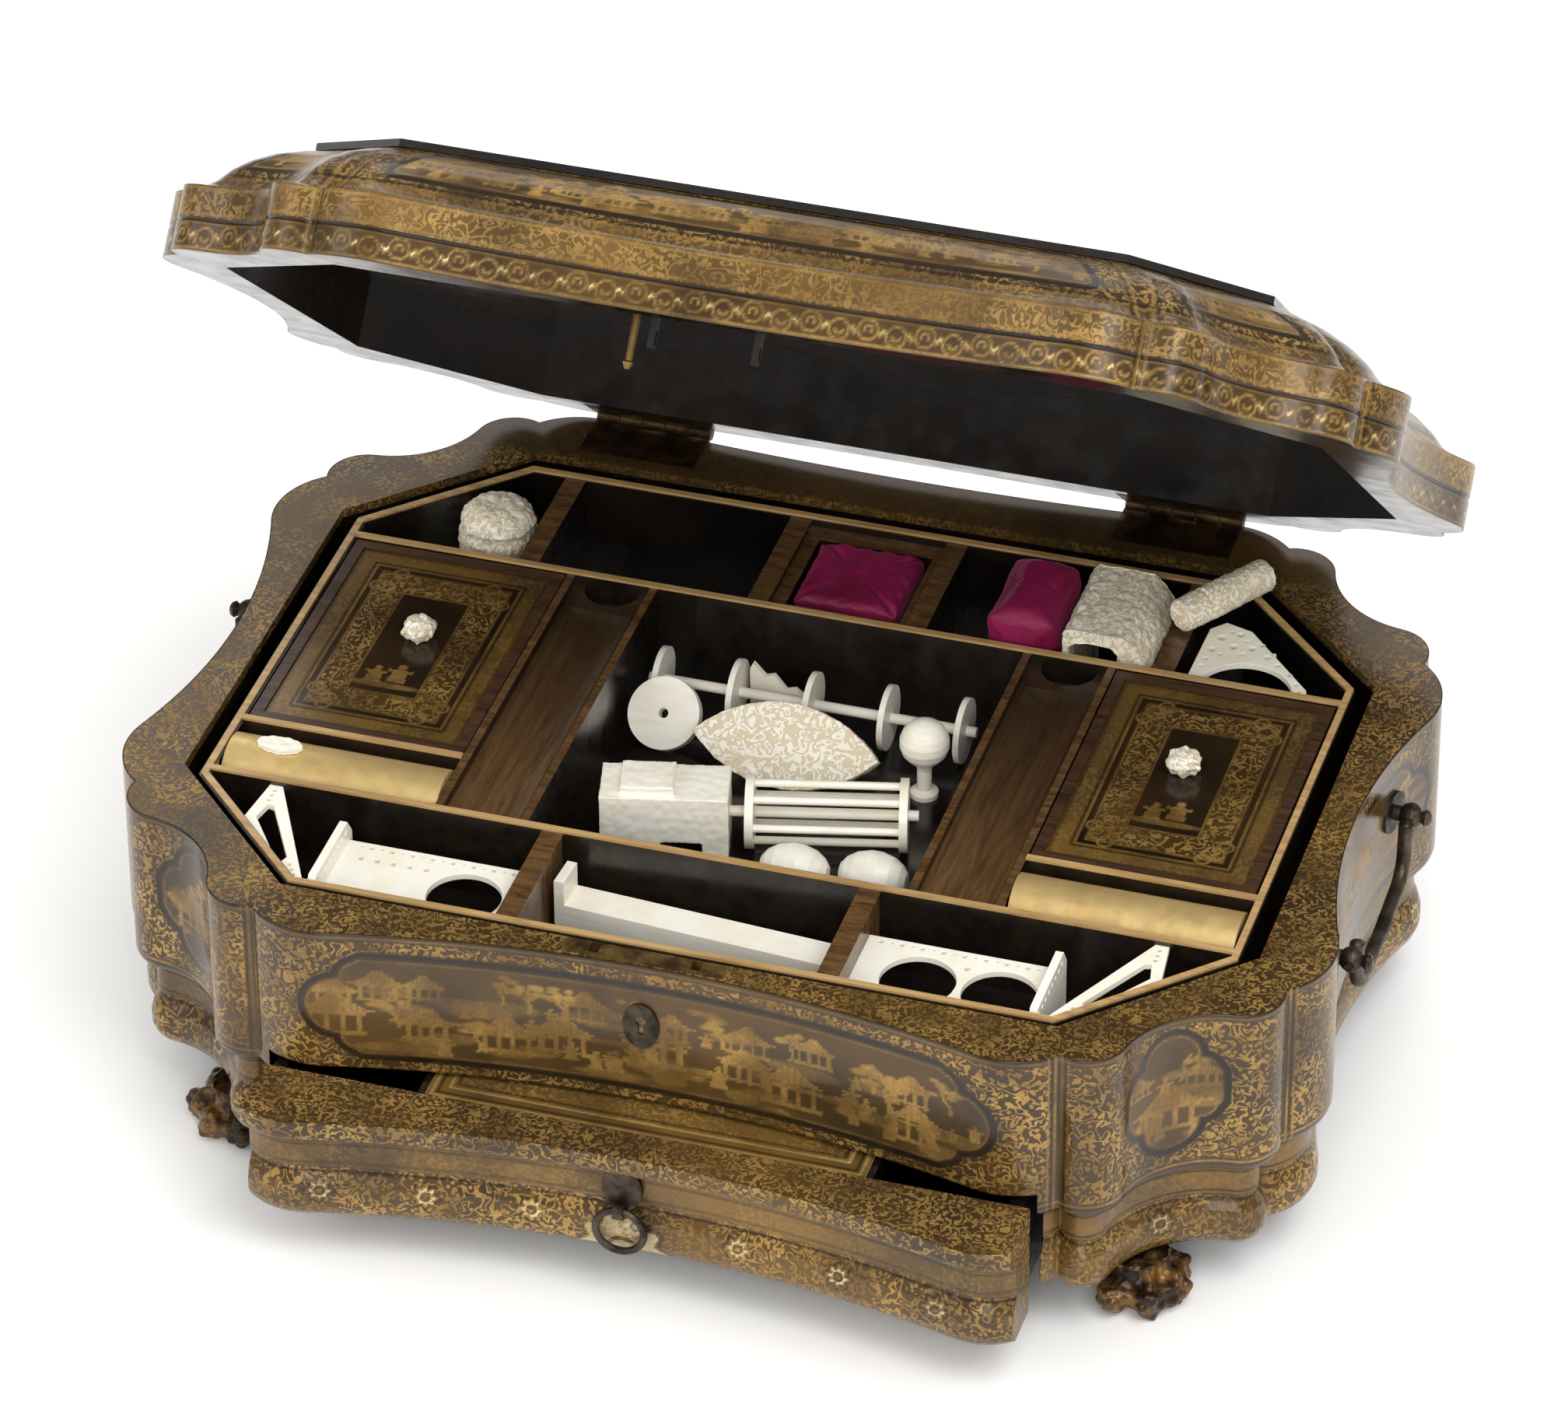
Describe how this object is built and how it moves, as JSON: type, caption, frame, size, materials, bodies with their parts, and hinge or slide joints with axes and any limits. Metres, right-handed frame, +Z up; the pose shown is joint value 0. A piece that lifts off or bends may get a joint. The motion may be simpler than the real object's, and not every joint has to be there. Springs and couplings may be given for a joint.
{
  "type": "sewing box",
  "caption": "Lacquered sewing box with a domed hinged lid, lift-out fitted tray of carved tools, front drawer, swing handles and claw feet.",
  "frame": {"origin": "on the floor under the middle of the inside", "axes": "+X to the right along the case, +Y to the back, +Z up; the lock and drawer face -Y"},
  "size_m": [0.3736, 0.3117, 0.2988],
  "materials": {
    "lacquer_scene": "glossy gold figured lacquer",
    "lacquer_scroll": "glossy gold scrolled lacquer",
    "gilt_mould": "gold patterned lacquer",
    "gilt_band": "satin gilt",
    "black_lacquer": "gloss black",
    "bare_wood": "satin dark brown",
    "pale_edging": "satin",
    "gilt_carving": "worn gilding",
    "carved_bone": "satin",
    "dark_bronze": "dark patina",
    "brass": "aged",
    "silk": "silk sheen"
  },
  "bodies": {
    "case": {"base_moulding": "gilt_mould", "belt_band": "gilt_band", "case_walls": "lacquer_scene", "case_rim": "lacquer_scroll", "base_board": "black_lacquer", "drawer_guides": "bare_wood", "dust_board": "black_lacquer", "tray_ledge": "bare_wood", "feet": "gilt_carving", "escutcheon": "dark_bronze", "lock_case": "brass", "lock_plate": "brass", "handle_posts": "dark_bronze", "hinge_leaves_case": "brass", "hinge_pins": "brass"},
    "lid": {"lid_frame": "lacquer_scroll", "lid_crown": "lacquer_scene", "lid_top_board": "lacquer_scene", "lid_lining": "black_lacquer", "lid_peg": "brass", "lid_link_plate": "brass", "hinge_leaves_lid": "brass"},
    "drawer": {"drawer_front": "gilt_mould", "drawer_sides": "black_lacquer", "drawer_floor": "black_lacquer", "drawer_partitions": "black_lacquer", "writing_board": "gilt_band", "pull_plate": "dark_bronze"},
    "drawer_ring": {"pull_ring": "dark_bronze"},
    "handle_left": {"bail_left": "dark_bronze"},
    "handle_right": {"bail_right": "dark_bronze"},
    "bolt": {"lock_bolt": "brass"},
    "tray": {"tray_floor": "black_lacquer", "tray_walls": "bare_wood", "tray_edging": "pale_edging", "tray_dividers": "bare_wood", "troughs": "bare_wood", "cushion_frame": "bare_wood", "pincushion": "silk", "cushion_block": "silk", "tray_frets": "carved_bone", "bodkin_box": "carved_bone", "round_box_base": "carved_bone", "needle_case": "carved_bone", "clamp_body": "carved_bone", "spindle_winder": "carved_bone", "shuttle": "carved_bone", "flat_winders": "carved_bone", "turned_tools": "carved_bone", "clamp_block": "carved_bone"},
    "left_bin_cover": {"bin_lid_left": "lacquer_scroll", "bin_knob_left": "carved_bone"},
    "right_bin_cover": {"bin_lid_right": "lacquer_scroll", "bin_knob_right": "carved_bone"},
    "left_roll_cover": {"roll_cover_left": "gilt_band", "roll_button": "carved_bone"},
    "right_roll_cover": {"roll_cover_right": "gilt_band"},
    "round_box_cover": {"round_box_lid": "carved_bone"},
    "reel": {"cage_reel": "carved_bone"}
  },
  "joints": [
    {"name": "lid_hinge", "type": "hinge", "parent": "case", "child": "lid", "pos_m": [0, 0.14, 0.1022], "axis": [-1, 0, 0], "range_deg": [-41.6, 53.4]},
    {"name": "drawer_slide", "type": "slide", "parent": "case", "child": "drawer", "axis": [0, -1, 0], "range_m": [-0.026, 0.089]},
    {"name": "pull_ring_hinge", "type": "hinge", "parent": "drawer", "child": "drawer_ring", "pos_m": [-0.004, -0.1469, 0.0326], "axis": [-1, 0, 0], "range_deg": [0, 90]},
    {"name": "bail_left_hinge", "type": "hinge", "parent": "case", "child": "handle_left", "pos_m": [-0.1806, 0, 0.082], "axis": [0, 1, 0], "range_deg": [0, 100]},
    {"name": "bail_right_hinge", "type": "hinge", "parent": "case", "child": "handle_right", "pos_m": [0.1806, 0, 0.082], "axis": [0, -1, 0], "range_deg": [0, 100]},
    {"name": "lock_bolt_slide", "type": "slide", "parent": "case", "child": "bolt", "axis": [1, 0, 0], "range_m": [0, 0.004]},
    {"name": "tray_lift", "type": "slide", "parent": "case", "child": "tray", "axis": [0, 0, 1], "range_m": [0, 0.035]},
    {"name": "left_bin_lift", "type": "slide", "parent": "tray", "child": "left_bin_cover", "axis": [0, 0, 1], "range_m": [0, 0.012]},
    {"name": "right_bin_lift", "type": "slide", "parent": "tray", "child": "right_bin_cover", "axis": [0, 0, 1], "range_m": [0, 0.012]},
    {"name": "left_roll_lift", "type": "slide", "parent": "tray", "child": "left_roll_cover", "axis": [0, 0, 1], "range_m": [0, 0.014]},
    {"name": "right_roll_lift", "type": "slide", "parent": "tray", "child": "right_roll_cover", "axis": [0, 0, 1], "range_m": [0, 0.014]},
    {"name": "round_box_lift", "type": "slide", "parent": "tray", "child": "round_box_cover", "axis": [0, 0, 1], "range_m": [0, 0.008]},
    {"name": "reel_spin", "type": "hinge", "parent": "tray", "child": "reel", "pos_m": [-0.0045, -0.023, 0.086], "axis": [0.9703, 0.2419, 0], "continuous": true}
  ]
}
